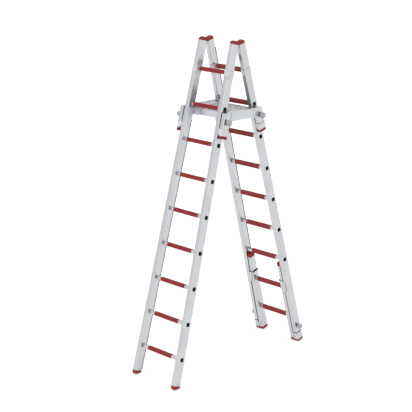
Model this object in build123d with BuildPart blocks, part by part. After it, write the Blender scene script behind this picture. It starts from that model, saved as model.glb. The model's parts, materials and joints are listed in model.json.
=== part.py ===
"""Sectional ladder set up as a double ladder, with a platform clamped across its two flights.

Millimetres, +Z up, the origin on the floor under the middle. The front flight stands at -Y and the rear
flight at +Y, and both hang from one hinge axis along X. Places on a flight are given as x across the
ladder, out from the flight's inner face, and down the flight from the hinge axis.
"""

import os
from math import cos, radians, sin, sqrt, tan

from build123d import *

os.makedirs("parts", exist_ok=True)

# Layout of the flights
lean = 15.0  # each flight from upright, degrees
flare = 1.175  # each stile from the flight's middle line, degrees
half_width_at_hinge = 188.2
first_rung = 234.0
rung_pitch = 280.0
rear_levels = 7  # rungs of the rear flight
last_level = 9  # last rung of the front flight and of the extension
floor_drop = 239.0  # last rung to the floor

# Stile profile, shared by the head members
stile_depth = 68.0
stile_width = 40.0
stile_corner = 6.0
stile_wall = 2.5
front_joint_drop = 30.0  # first rung to the head member's lower end, front flight
rear_joint_rise = 18.0  # head member's lower end above the first rung, rear flight

# Spigots in the tube joints
spigot_fit = 0.1
spigot_wall = 3.0
spigot_reach = 80.0  # into each of the two tubes

# Rungs, grip sleeves and end plugs
rung_size = 28.0
rung_corner = 5.0
rung_wall = 2.0
rung_fit = 0.05
blind_reach = 14.0  # how far a rung without a plug enters its stile
grip_wall = 2.5
grip_length = 266.0
plug_proud = 0.4
plug_flange = 1.9
plug_stem = 14.0

# Head caps and hinge
cap_drop = 15.0  # hinge axis to the lower end of the caps
cap_rise = 12.0  # crest of a cap's lobe above the hinge axis
cap_slope = 35.0  # lobe's inner side from the flight's cross direction, degrees
cap_round = 13.0
knuckle_gap = 0.4
end_plug_stem = 26.0
end_plug_fit = 0.2
leaf_thick = 5.0
leaf_gap = 0.5
leaf_radius = 9.0
leaf_inset = 24.2  # first hinge plate from the ladder's outer width at the hinge
leaf_arm = 20.0
leaf_slot_margin = 1.0
pin_radius = 4.0
pin_head_radius = 7.0
pin_head = 2.5
pin_clearance = 0.05
hinge_side_gap = 0.4
rivet_radius = 4.0
rivet_pitch = 40.0
rivet_margin = 6.0  # lower rivet to the rear spigot

# Screws at the joints and feet
screw_radius = 2.5
screw_head_radius = 5.0
screw_head = 2.0
screw_length = 12.0
screw_fit = 0.05
screw_seat_gap = 0.15
joint_screw_drop = 14.0
joint_screw_edge = 16.0  # from the stile's outer edge
foot_screw_rise = 20.0

# Feet, shoes and soles
foot_height = 30.0  # front stile's end to the floor
foot_draw = (32.0, 22.0)  # how much smaller the pad is than the stile, depth and width
foot_round = 2.5  # added to the corners on the way to the pad
foot_steps = (0.0, 0.4, 0.7, 0.9, 1.0)  # sections of the rounded foot, from the stile to the floor
shoe_length = 66.0
sole_thick = 22.0
sole_rise = 4.0  # soles' low ends above the floor level, along the stile
sole_inset = 1.5

# Extension section in the rear flight
nest_gap = 3.0
guide_clearance = 0.4
extension_width = 38.0
extension_rise = 70.5  # stile's upper end above the extension's first rung
extension_foot = 30.0
extension_spigot_drop = 66.0  # rear flight's last rung to the spigot's upper end
extension_spigot_seat = 45.0
extension_spigot_draw = 2.1  # spigot's narrow sides from the inside of the stile
extension_cap = 32.0
guide_rise = 2.5  # above the extension stile
guide_length = 94.0
guide_lap = 20.0
guide_thick = 3.0

# Platform
deck_drop = 510.0  # hinge axis to the deck's top
deck_end_gap = 6.65  # to the inner faces of the flights
deck_rim = 10.0
deck_sheet = 3.0
deck_side_gap = 0.5
leg_stile_gap = 5.1  # at the soles
side_beam_height = 71.0
side_beam_rise = 3.0  # above the deck
cross_beam_width = 25.0
cross_beam_height = 55.0
cross_beam_lip = 3.0  # beyond the deck's edge
beam_wall = 2.5
beam_corner = 4.0
leg_width = 38.0
leg_solid = 38.0  # closed upper end, below the deck level
leg_length = 152.0  # below the deck level
leg_shoe = 56.0
leg_shoe_gap = 0.5  # shoe to stile, at the soles
leg_sole = 22.0

# Clamp knobs
platform_knob_drop = 99.0  # front knobs, below the deck level
rear_knob_lift = 10.0  # rear knobs of the platform above the level of its front ones
base_knob_rise = 60.0  # above the rear stile's end
knob_screw_radius = 6.0
knob_screw_fit = 0.05
knob_face_gap = 0.5
knob_pad_gap = 0.6
knob_pad_radius = 12.0
knob_pad = 4.0
knob_collar_radius = 10.0
knob_collar = 12.0
platform_knob_hub = 20.0  # radius on which the lobes stand
base_knob_hub = 16.0
knob_lobe_radius = 6.5
knob_lobes = 5
knob_head = 22.0
knob_round = 3.0

hands = {"left": -1, "right": 1}
floor_level = first_rung + (last_level - 1) * rung_pitch + floor_drop
hinge_height = floor_level * cos(radians(lean)) - stile_depth / 2 * sin(radians(lean))
deck_top = hinge_height - deck_drop

front_joint = first_rung + front_joint_drop
rear_joint = first_rung - rear_joint_rise
front_stile_end = floor_level - foot_height
sole_end = floor_level - sole_rise
rear_stile_end = sole_end - sole_thick - shoe_length
leg_end = deck_drop + leg_length
leg_shoe_end = leg_end + leg_shoe
leg_sole_end = leg_shoe_end + leg_sole
front_knob_level = deck_drop + platform_knob_drop
rear_knob_level = front_knob_level - rear_knob_lift
base_knob_level = rear_stile_end - base_knob_rise
lower_rivet = rear_joint - spigot_reach - rivet_margin
rivet_levels = (lower_rivet - rivet_pitch, lower_rivet)
joint_screw_out = stile_depth - joint_screw_edge

front = Plane(
    origin=(0, 0, hinge_height),
    x_dir=(1, 0, 0),
    z_dir=(0, -sin(radians(lean)), -cos(radians(lean))),
)
rear = Plane(
    origin=(0, 0, hinge_height),
    x_dir=(-1, 0, 0),
    z_dir=(0, sin(radians(lean)), -cos(radians(lean))),
)


def at(flight, x, out, down):
    """Point at x across the ladder, out from the flight's inner face and down from the hinge."""
    return flight.from_local_coords(Vector(x * flight.x_dir.X, out, down))


def half_width(down):
    """Half the ladder's outer width at a distance down from the hinge axis."""
    return half_width_at_hinge + down * tan(radians(flare))


def rung_level(level):
    """Distance of a rung's axis down from the hinge axis, levels counted from the top."""
    return first_rung + (level - 1) * rung_pitch


def along(start, end):
    """Length on a spread stile between two distances down the flight."""
    return (end - start) / cos(radians(flare))


def stile_plane(flight, hand, down, inset=stile_width / 2):
    """Plane square to a spread stile, on the line that lies inset from the outer face."""
    axis = flight.z_dir + Vector(hand * tan(radians(flare)), 0, 0)
    middle = at(flight, hand * (half_width(down) - inset), stile_depth / 2, down)
    return Plane(origin=middle, x_dir=flight.y_dir, z_dir=axis)


def leg_plane(flight, hand, down):
    """Plane square to a platform leg, on its middle line."""
    middle = at(flight, hand * (frame_inner_x + leg_width / 2), stile_depth / 2, down)
    return Plane(origin=middle, x_dir=flight.y_dir, z_dir=flight.z_dir)


def cross_plane(flight, x, out, down, hand=1):
    """Plane square to X, its normal pointing to the given hand."""
    return Plane(origin=at(flight, x, out, down), x_dir=flight.y_dir, z_dir=(hand, 0, 0))


def section(plane, depth, width, corner, wall=0.0):
    """Rounded rectangle on a plane, hollow where a wall is given."""
    with BuildSketch(plane) as profile:
        RectangleRounded(depth, width, corner)
        if wall:
            RectangleRounded(depth - 2 * wall, width - 2 * wall, corner - wall, mode=Mode.SUBTRACT)
    return profile.sketch


def disc(plane, radius):
    """Circle on a plane."""
    with BuildSketch(plane) as profile:
        Circle(radius)
    return profile.sketch


def rung_section(flight, level, size, corner, wall=0.0):
    """Section of a rung or of what fits on it, square to X."""
    return section(cross_plane(flight, 0, stile_depth / 2, rung_level(level)), size, size, corner, wall)


def save(name, shape):
    """Label a sub-part and write it to its own file."""
    shape.label = name
    export_step(shape, f"parts/{name}.step")


frame_inner_x = half_width(leg_sole_end) + leg_stile_gap
rung_hole = rung_size + 2 * rung_fit
grip_size = rung_hole + 2 * grip_wall
grip_corner = rung_corner + grip_wall
rung_bore = rung_size - 2 * rung_wall
inner_depth = stile_depth - 2 * stile_wall
inner_width = stile_width - 2 * stile_wall
inner_corner = stile_corner - stile_wall
reach = 2 * half_width(floor_level)


def through_screw(flight, hand, down, out, radius):
    """Circle on the ladder's middle plane for a hole through the outer side of a stile."""
    return disc(cross_plane(flight, 0, out, down, hand), radius)


# Stiles: the through rungs pierce both walls, the first rung only the inner wall
flights = {
    "front": (front, front_joint, front_stile_end, range(2, last_level + 1), (), foot_screw_rise),
    "rear": (rear, rear_joint, rear_stile_end, range(2, rear_levels + 1), (1,), None),
}
for name, (flight, start, end, through, blind, foot_screw) in flights.items():
    for side, hand in hands.items():
        with BuildPart() as stile:
            top = stile_plane(flight, hand, start)
            tube = section(top, stile_depth, stile_width, stile_corner, stile_wall)
            extrude(tube, amount=along(start, end))
            for level in through:
                hole = rung_section(flight, level, rung_hole, rung_corner)
                extrude(hole, amount=reach, both=True, mode=Mode.SUBTRACT)
            for level in blind:
                hole = rung_section(flight, level, rung_hole, rung_corner)
                depth = half_width(rung_level(level)) - stile_width + blind_reach
                extrude(hole, amount=depth, both=True, mode=Mode.SUBTRACT)
            joint_hole = through_screw(
                flight, hand, start + joint_screw_drop, joint_screw_out, screw_radius + screw_fit
            )
            extrude(joint_hole, amount=reach, mode=Mode.SUBTRACT)
            if foot_screw:
                foot_hole = through_screw(
                    flight, hand, end - foot_screw, stile_depth / 2, screw_radius + screw_fit
                )
                extrude(foot_hole, amount=reach, mode=Mode.SUBTRACT)
            else:
                clamp_hole = through_screw(
                    flight, hand, base_knob_level, stile_depth / 2, knob_screw_radius + knob_screw_fit
                )
                extrude(clamp_hole, amount=reach, mode=Mode.SUBTRACT)
        save(f"{name}_stile_{side}", stile.part)

# Rungs: square tubes, each up to its end plugs
for name, (flight, start, end, through, blind, foot_screw) in flights.items():
    for level in through:
        with BuildPart() as rung:
            tube = rung_section(flight, level, rung_size, rung_corner, rung_wall)
            half_length = half_width(rung_level(level)) + plug_proud - plug_flange
            extrude(tube, amount=half_length, both=True)
        save(f"{name}_rung_{level}", rung.part)
    with BuildPart() as top_rung:
        tube = rung_section(flight, 1, rung_size, rung_corner, rung_wall)
        half_length = half_width(first_rung) - stile_width + blind_reach - rung_fit
        extrude(tube, amount=half_length, both=True)
    save(f"{name}_rung_1", top_rung.part)

# Grip sleeves on the middle of the rungs
extension_levels = range(rear_levels + 1, last_level + 1)
grip_rungs = {
    "front": (front, range(1, last_level + 1)),
    "rear": (rear, range(1, rear_levels + 1)),
    "extension": (rear, extension_levels),
}
for name, (flight, levels) in grip_rungs.items():
    with BuildPart() as grips:
        for level in levels:
            ring = rung_section(flight, level, grip_size, grip_corner, grip_wall)
            extrude(ring, amount=grip_length / 2, both=True)
    save(f"{name}_rung_grips", grips.part)

# End plugs: a flange that fills the hole in the stile and a stem in the rung
for name, (flight, start, end, through, blind, foot_screw) in flights.items():
    with BuildPart() as plugs:
        for level in through:
            for hand in hands.values():
                face = half_width(rung_level(level)) + plug_proud
                outer = cross_plane(flight, hand * face, stile_depth / 2, rung_level(level), hand)
                extrude(section(outer, rung_size, rung_size, rung_corner), amount=-plug_flange)
                stem_size = rung_bore - 2 * rung_fit
                extrude(
                    section(outer, stem_size, stem_size, rung_corner - rung_wall),
                    amount=-plug_flange - plug_stem,
                )
    save(f"{name}_rung_plugs", plugs.part)

# Head members: the tops of the flights, open at the hinge plates
leaf_inner_x = half_width_at_hinge - leaf_inset
leaf_outer_x = leaf_inner_x + 2 * leaf_thick + leaf_gap
leaf_end = lower_rivet + leaf_arm
slot_middle_x = (leaf_inner_x + leaf_outer_x) / 2
slot_width = leaf_outer_x - leaf_inner_x + 2 * leaf_slot_margin
heads = {"front": (front, front_joint, True), "rear": (rear, rear_joint, False)}
for name, (flight, joint, holds_rung) in heads.items():
    for side, hand in hands.items():
        with BuildPart() as head:
            top = stile_plane(flight, hand, cap_drop)
            tube = section(top, stile_depth, stile_width, stile_corner, stile_wall)
            extrude(tube, amount=along(cap_drop, joint))
            with BuildSketch(cross_plane(flight, hand * slot_middle_x, 0, cap_drop)):
                Rectangle(4 * stile_wall, 2 * leaf_arm)
            extrude(amount=slot_width / 2, both=True, mode=Mode.SUBTRACT)
            for level in rivet_levels:
                extrude(
                    through_screw(flight, hand, level, stile_depth / 2, rivet_radius + screw_fit),
                    amount=reach,
                    mode=Mode.SUBTRACT,
                )
            if holds_rung:
                depth = half_width(first_rung) - stile_width + blind_reach
                hole = rung_section(flight, 1, rung_hole, rung_corner)
                extrude(hole, amount=depth, both=True, mode=Mode.SUBTRACT)
        save(f"head_{name}_{side}", head.part)

# Spigots inside the joints between the head members and the stiles
for name, (flight, joint, holds_rung) in heads.items():
    with BuildPart() as spigots:
        for hand in hands.values():
            start = joint - spigot_reach
            tube = section(
                stile_plane(flight, hand, start),
                inner_depth - 2 * spigot_fit,
                inner_width - 2 * spigot_fit,
                inner_corner - spigot_fit,
                spigot_wall,
            )
            extrude(tube, amount=along(start, joint + spigot_reach))
            extrude(
                through_screw(
                    flight, hand, joint + joint_screw_drop, joint_screw_out, screw_radius + screw_fit
                ),
                amount=reach,
                mode=Mode.SUBTRACT,
            )
        hole = rung_section(flight, 1, rung_hole, rung_corner)
        depth = half_width(first_rung) - stile_width + blind_reach
        extrude(hole, amount=depth, both=True, mode=Mode.SUBTRACT)
    save(f"head_spigots_{name}", spigots.part)

# Head caps: a lobe above each head member and a stem in its tube, slotted for the hinge plates. A knuckle on
# the front caps closes the cleft over the hinge, and the rear caps turn around it.
knuckle_radius = leaf_radius
pin_room_x = leaf_inner_x - pin_head - leaf_slot_margin
pin_room = leaf_outer_x + hinge_side_gap + pin_head + leaf_slot_margin - pin_room_x
for name, (flight, joint, holds_rung) in heads.items():
    with BuildPart() as caps:
        for hand in hands.values():
            base = stile_plane(flight, hand, cap_drop)
            middle = Plane(
                origin=at(flight, hand * (half_width(0) - stile_width / 2), 0, 0),
                x_dir=flight.y_dir,
                z_dir=flight.x_dir,
            )
            with BuildPart(mode=Mode.PRIVATE) as lobe:
                crest = cap_drop + cap_rise
                extrude(section(base, stile_depth, stile_width, stile_corner), amount=-along(0, crest))
                with BuildSketch(middle) as outline:
                    Polygon(
                        (knuckle_gap, cap_drop),
                        (stile_depth, cap_drop),
                        (stile_depth, -cap_rise),
                        (cap_rise / tan(radians(cap_slope)), -cap_rise),
                        (knuckle_gap, 0),
                        align=None,
                    )
                    fillet(outline.vertices().group_by(Axis.Y)[0], cap_round)
                extrude(amount=stile_width, both=True, mode=Mode.INTERSECT)
            add(lobe.part)
            stem = section(
                base,
                inner_depth - 2 * end_plug_fit,
                inner_width - 2 * end_plug_fit,
                inner_corner - end_plug_fit,
            )
            extrude(stem, amount=end_plug_stem)
            if flight is front:
                extrude(disc(middle, knuckle_radius), amount=stile_width / 2 - stile_wall, both=True)
            else:
                extrude(
                    disc(middle, knuckle_radius + knuckle_gap),
                    amount=stile_width,
                    both=True,
                    mode=Mode.SUBTRACT,
                )
            pin_side = cross_plane(flight, hand * pin_room_x, 0, 0, hand)
            extrude(disc(pin_side, knuckle_radius + knuckle_gap), amount=pin_room, mode=Mode.SUBTRACT)
            with BuildSketch(cross_plane(flight, hand * slot_middle_x, stile_depth / 4, cap_drop)):
                Rectangle(stile_depth, 4 * end_plug_stem)
            extrude(amount=slot_width / 2, both=True, mode=Mode.SUBTRACT)
    save(f"head_caps_{name}", caps.part)

# Hinge plates: an eye on the axis and an arm down inside the head member
leaf_x = {"front": leaf_inner_x, "rear": leaf_inner_x + leaf_thick + leaf_gap}
for name, (flight, joint, holds_rung) in heads.items():
    with BuildPart() as leaves:
        for hand in hands.values():
            face = Plane(
                origin=at(flight, hand * (leaf_x[name] + leaf_thick / 2), 0, 0),
                x_dir=flight.y_dir,
                z_dir=flight.x_dir,
            )
            with BuildSketch(face):
                Circle(leaf_radius)
                bend = (stile_depth / 2, 3 * leaf_arm)
                with BuildLine():
                    Polyline((0, 0), bend, (bend[0], leaf_end - leaf_arm / 2))
                    offset(amount=leaf_arm / 2)
                make_face()
                for level in rivet_levels:
                    with Locations((stile_depth / 2, level)):
                        Circle(rivet_radius + screw_fit, mode=Mode.SUBTRACT)
                Circle(pin_radius + pin_clearance, mode=Mode.SUBTRACT)
            extrude(amount=leaf_thick / 2, both=True)
    save(f"hinge_leaves_{name}", leaves.part)

# Hinge pins: a shank through both plates and a head on each side
with BuildPart() as hinge_pins:
    for hand in hands.values():
        inner = cross_plane(front, hand * (leaf_inner_x - pin_head), 0, 0, hand)
        shank = leaf_outer_x - leaf_inner_x + hinge_side_gap
        extrude(disc(inner, pin_head_radius), amount=pin_head)
        extrude(disc(inner, pin_radius), amount=pin_head + shank)
        extrude(disc(inner.offset(pin_head + shank), pin_head_radius), amount=pin_head)
save("hinge_pins", hinge_pins.part)

# Fasteners: rivets through the head members and hinge plates, a screw in each head joint and one above
# each front foot
fasteners = {
    "front": (
        front,
        (
            (front_joint + joint_screw_drop, joint_screw_out),
            (front_stile_end - foot_screw_rise, stile_depth / 2),
        ),
    ),
    "rear": (rear, ((rear_joint + joint_screw_drop, joint_screw_out),)),
}
for name, (flight, screw_places) in fasteners.items():
    with BuildPart() as flight_fasteners:
        for hand in hands.values():
            for level in rivet_levels:
                inner_x = half_width(level) - stile_width
                inner = cross_plane(flight, hand * inner_x, stile_depth / 2, level, hand)
                extrude(disc(inner, rivet_radius), amount=stile_width)
            for down, out in screw_places:
                face_x = half_width(down) + screw_seat_gap
                seat = cross_plane(flight, hand * face_x, out, down, hand)
                extrude(disc(seat, screw_head_radius), amount=screw_head)
                extrude(disc(seat, screw_radius), amount=-screw_length)
    save(f"{name}_fasteners", flight_fasteners.part)

# Front feet: a stem in the stile and a rounded foot down to a small pad on the floor
with BuildPart() as front_feet:
    for hand in hands.values():
        top = stile_plane(front, hand, front_stile_end)
        outlines = []
        for step in foot_steps:
            draw = 1 - sqrt(1 - step**2)
            down = front_stile_end + step * foot_height
            tilt = radians(lean) * (1 - step)
            level = Plane(
                origin=at(front, hand * (half_width(down) - stile_width / 2), stile_depth / 2, down),
                x_dir=(0, -cos(tilt), sin(tilt)),
                z_dir=(hand * tan(radians(flare)) * (1 - step), -sin(tilt), -cos(tilt)),
            )
            depth = stile_depth - draw * foot_draw[0]
            width = stile_width - draw * foot_draw[1]
            outlines.append(section(level, depth, width, stile_corner + draw * foot_round))
        loft(outlines, ruled=True)
        stem = section(
            top,
            inner_depth - 2 * end_plug_fit,
            inner_width - 2 * end_plug_fit,
            inner_corner - end_plug_fit,
        )
        extrude(stem, amount=-2 * foot_screw_rise)
        foot_hole = through_screw(
            front, hand, front_stile_end - foot_screw_rise, stile_depth / 2, screw_radius + screw_fit
        )
        extrude(foot_hole, amount=reach, mode=Mode.SUBTRACT)
save("front_feet", front_feet.part)

# Rear shoes and soles: closed end pieces cut square to the stile, the soles bedded flat on the floor
sole_start = sole_end - sole_thick
with BuildPart() as rear_shoes:
    for hand in hands.values():
        top = stile_plane(rear, hand, rear_stile_end)
        body = section(top, stile_depth, stile_width, stile_corner)
        extrude(body, amount=along(rear_stile_end, sole_start))
        stem = section(
            top,
            inner_depth - 2 * end_plug_fit,
            inner_width - 2 * end_plug_fit,
            inner_corner - end_plug_fit,
        )
        extrude(stem, amount=-end_plug_stem)
save("rear_shoes", rear_shoes.part)

with BuildPart() as rear_soles:
    for hand in hands.values():
        top = stile_plane(rear, hand, sole_start)
        extrude(
            section(top, stile_depth - 2 * sole_inset, stile_width - 2 * sole_inset, stile_corner),
            amount=along(sole_start, sole_end),
        )
    split(bisect_by=Plane.XY, keep=Keep.TOP)
save("rear_soles", rear_soles.part)

# Extension section: stiles nested between the rear stiles
extension_depth = stile_depth - 2 * guide_clearance
extension_inset = stile_width + nest_gap + extension_width / 2
extension_inner_depth = extension_depth - 2 * stile_wall
extension_inner_width = extension_width - 2 * stile_wall
extension_top = rung_level(rear_levels + 1) - extension_rise
extension_end = sole_end - extension_foot
extension_spigot_top = rung_level(rear_levels) + extension_spigot_drop
extension_spigot = (extension_inner_depth - 2 * extension_spigot_draw, extension_inner_width - 2 * spigot_fit)
for side, hand in hands.items():
    with BuildPart() as extension_stile:
        top = stile_plane(rear, hand, extension_top, extension_inset)
        extrude(
            section(top, extension_depth, extension_width, stile_corner, stile_wall),
            amount=along(extension_top, extension_end),
        )
        for level in extension_levels:
            hole = rung_section(rear, level, rung_hole, rung_corner)
            depth = half_width(rung_level(level)) - extension_inset - extension_width / 2 + blind_reach
            extrude(hole, amount=depth, both=True, mode=Mode.SUBTRACT)
    save(f"extension_stile_{side}", extension_stile.part)

with BuildPart() as extension_rungs:
    for level in extension_levels:
        tube = rung_section(rear, level, rung_size, rung_corner, rung_wall)
        depth = half_width(rung_level(level)) - extension_inset - extension_width / 2 + blind_reach
        extrude(tube, amount=depth - rung_fit, both=True)
save("extension_rungs", extension_rungs.part)

# Extension spigots: the narrower plug-in ends above the shoulders, seated in the stiles
with BuildPart() as extension_spigots:
    for hand in hands.values():
        spigot_top = stile_plane(rear, hand, extension_spigot_top, extension_inset)
        seat_end = extension_top + extension_spigot_seat
        extrude(
            section(spigot_top, *extension_spigot, stile_corner, spigot_wall),
            amount=along(extension_spigot_top, seat_end),
        )
        collar = stile_plane(rear, hand, extension_top, extension_inset)
        extrude(
            section(
                collar,
                extension_inner_depth - 2 * spigot_fit,
                extension_inner_width - 2 * spigot_fit,
                inner_corner - spigot_fit,
            ),
            amount=extension_spigot_seat,
        )
save("extension_spigots", extension_spigots.part)

# Extension end pieces: caps on the spigots and feet under the stiles, with stems in the tubes
with BuildPart() as extension_ends:
    for hand in hands.values():
        base = stile_plane(rear, hand, extension_spigot_top, extension_inset)
        with BuildPart(mode=Mode.PRIVATE) as lobe:
            extrude(section(base, *extension_spigot, stile_corner), amount=-extension_cap)
            top_face = lobe.faces().sort_by(Axis(base.origin, base.z_dir))[0]
            fillet(top_face.edges(), stile_corner)
            extrude(
                section(
                    base,
                    extension_spigot[0] - 2 * spigot_wall - 2 * end_plug_fit,
                    extension_spigot[1] - 2 * spigot_wall - 2 * end_plug_fit,
                    stile_corner - spigot_wall,
                ),
                amount=end_plug_stem,
            )
        add(lobe.part)
        top = stile_plane(rear, hand, extension_end, extension_inset)
        foot_depth = extension_depth - 2 * sole_inset
        foot_width = extension_width - 2 * sole_inset
        extrude(section(top, foot_depth, foot_width, stile_corner), amount=along(extension_end, sole_end))
        stem = section(
            top,
            extension_inner_depth - 2 * end_plug_fit,
            extension_inner_width - 2 * end_plug_fit,
            inner_corner - end_plug_fit,
        )
        extrude(stem, amount=-end_plug_stem)
    split(bisect_by=Plane.XY, keep=Keep.TOP)
save("extension_ends", extension_ends.part)

# Guide plates: fixed on both narrow sides of the rear stiles, lapping over the extension
guide_top = extension_top - guide_rise
guide_end = guide_top + guide_length
with BuildPart() as guide_plates:
    for hand in hands.values():
        middle = stile_plane(rear, hand, (guide_top + guide_end) / 2, stile_width + nest_gap / 2)
        for side_out in (-1, 1):
            with BuildSketch(middle):
                with Locations((side_out * (stile_depth + guide_thick) / 2, 0)):
                    Rectangle(guide_thick, 2 * guide_lap + nest_gap)
            extrude(amount=(guide_end - guide_top) / 2, both=True)
save("guide_plates", guide_plates.part)

# Platform deck: a shallow tray turned upside down
frame_side_x = frame_inner_x - deck_side_gap
deck_length = 2 * (deck_drop * tan(radians(lean)) - deck_end_gap)
with BuildPart() as platform_deck:
    with BuildSketch(Plane.XY.offset(deck_top)):
        Rectangle(2 * frame_side_x, deck_length)
    extrude(amount=-deck_rim)
    with BuildSketch(Plane.XY.offset(deck_top - deck_sheet)):
        Rectangle(2 * (frame_side_x - deck_sheet), deck_length - 2 * deck_sheet)
    extrude(amount=-deck_rim, mode=Mode.SUBTRACT)
save("platform_deck", platform_deck.part)

# Side beams: box tubes between the front and rear legs, their ends on the slant of the legs
side_beam_width = leg_width  # flush with the legs on both sides
beam_top = deck_top + side_beam_rise
beam_bottom = beam_top - side_beam_height
cross_beam_out_y = deck_length / 2 + cross_beam_lip


def beam_end(height):
    """Distance from the middle to the legs' inner faces at a height."""
    return (hinge_height - height) * tan(radians(lean))


for side, hand in hands.items():
    with BuildPart() as side_beam:
        face = Plane(origin=(hand * frame_inner_x, 0, 0), x_dir=(0, hand, 0), z_dir=(hand, 0, 0))
        with BuildSketch(face):
            Polygon(
                (-beam_end(beam_top), beam_top),
                (beam_end(beam_top), beam_top),
                (beam_end(beam_bottom), beam_bottom),
                (-beam_end(beam_bottom), beam_bottom),
                align=None,
            )
        extrude(amount=side_beam_width)
        with BuildSketch(face.offset(beam_wall)):
            with Locations((0, (beam_top + beam_bottom) / 2)):
                Rectangle(2 * cross_beam_out_y + stile_depth, side_beam_height - 2 * beam_wall)
        extrude(amount=side_beam_width - 2 * beam_wall, mode=Mode.SUBTRACT)
    save(f"side_beam_{side}", side_beam.part)

# Cross-beams under the deck's front and rear edges
cross_beam_y = cross_beam_out_y - cross_beam_width / 2
cross_beam_z = deck_top - deck_rim - cross_beam_height / 2
with BuildPart() as cross_beams:
    for y in (-cross_beam_y, cross_beam_y):
        middle = Plane(origin=(0, y, cross_beam_z), x_dir=(0, 1, 0), z_dir=(1, 0, 0))
        tube = section(middle, cross_beam_width, cross_beam_height, beam_corner, beam_wall)
        extrude(tube, amount=frame_inner_x, both=True)
save("cross_beams", cross_beams.part)

# Platform legs: tubes along the outsides of the stiles, cut level at the top
with BuildPart() as platform_legs:
    for flight, knob_level in ((front, front_knob_level), (rear, rear_knob_level)):
        for hand in hands.values():
            top = leg_plane(flight, hand, deck_drop - stile_depth)
            extrude(
                section(top, stile_depth, leg_width, stile_corner), amount=leg_end - deck_drop + stile_depth
            )
            hollow = section(
                leg_plane(flight, hand, deck_drop + leg_solid),
                inner_depth,
                leg_width - 2 * stile_wall,
                inner_corner,
            )
            extrude(hollow, amount=leg_length - leg_solid, mode=Mode.SUBTRACT)
            clamp_hole = through_screw(
                flight, hand, knob_level, stile_depth / 2, knob_screw_radius + knob_screw_fit
            )
            extrude(clamp_hole, amount=reach, mode=Mode.SUBTRACT)
    split(bisect_by=Plane.XY.offset(beam_top), keep=Keep.BOTTOM)
save("platform_legs", platform_legs.part)

# Leg shoes: deeper towards the stiles than the legs, so that they close the gap beside them
shoe_inner_x = half_width(leg_sole_end) + leg_shoe_gap
shoe_width = frame_inner_x + leg_width - shoe_inner_x
with BuildPart() as leg_shoes:
    for flight in (front, rear):
        for hand in hands.values():
            top = leg_plane(flight, hand, leg_end)
            body = Plane(
                origin=at(flight, hand * (shoe_inner_x + shoe_width / 2), stile_depth / 2, leg_end),
                x_dir=flight.y_dir,
                z_dir=flight.z_dir,
            )
            extrude(section(body, stile_depth, shoe_width, stile_corner), amount=leg_shoe)
            stem = section(
                top,
                inner_depth - 2 * end_plug_fit,
                leg_width - 2 * stile_wall - 2 * end_plug_fit,
                inner_corner - end_plug_fit,
            )
            extrude(stem, amount=-end_plug_stem)
save("leg_shoes", leg_shoes.part)

with BuildPart() as leg_soles:
    for flight in (front, rear):
        for hand in hands.values():
            top = Plane(
                origin=at(flight, hand * (shoe_inner_x + shoe_width / 2), stile_depth / 2, leg_shoe_end),
                x_dir=flight.y_dir,
                z_dir=flight.z_dir,
            )
            extrude(
                section(top, stile_depth - 2 * sole_inset, shoe_width - 2 * sole_inset, stile_corner),
                amount=leg_sole,
            )
save("leg_soles", leg_soles.part)

# Clamp knobs: a lobed head and collar outside, a screw through the tube, and a pad where there is room
leg_outer_x = frame_inner_x + leg_width
base_knob_x = half_width(base_knob_level)
knobs = {
    "platform_knob_front": (
        front, front_knob_level, leg_outer_x, half_width(front_knob_level), knob_pad, platform_knob_hub
    ),
    "platform_knob_rear": (
        rear, rear_knob_level, leg_outer_x, half_width(rear_knob_level), knob_pad, platform_knob_hub
    ),
    "base_knob": (rear, base_knob_level, base_knob_x, base_knob_x - stile_width - nest_gap, 0, base_knob_hub),
}
for name, (flight, down, outer_x, clamped_x, pad, hub) in knobs.items():
    for side, hand in hands.items():
        with BuildPart() as knob:
            tip = cross_plane(flight, hand * (clamped_x + knob_pad_gap), stile_depth / 2, down, hand)
            seat = cross_plane(flight, hand * (outer_x + knob_face_gap), stile_depth / 2, down, hand)
            extrude(disc(tip, knob_screw_radius), amount=outer_x + knob_face_gap - clamped_x - knob_pad_gap)
            if pad:
                extrude(disc(tip, knob_pad_radius), amount=pad)
            with BuildSketch(seat.offset(knob_collar)):
                Circle(hub)
                with PolarLocations(hub, knob_lobes):
                    Circle(knob_lobe_radius)
            extrude(amount=knob_head)
            head_edges = knob.faces().sort_by(Axis(seat.origin, seat.z_dir))[-1].edges()
            fillet(head_edges, knob_round)
            extrude(disc(seat, knob_collar_radius), amount=knob_collar)
        save(f"{name}_{side}", knob.part)
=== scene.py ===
import json
import math

import bmesh
import bpy
from mathutils import Matrix, Vector


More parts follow.
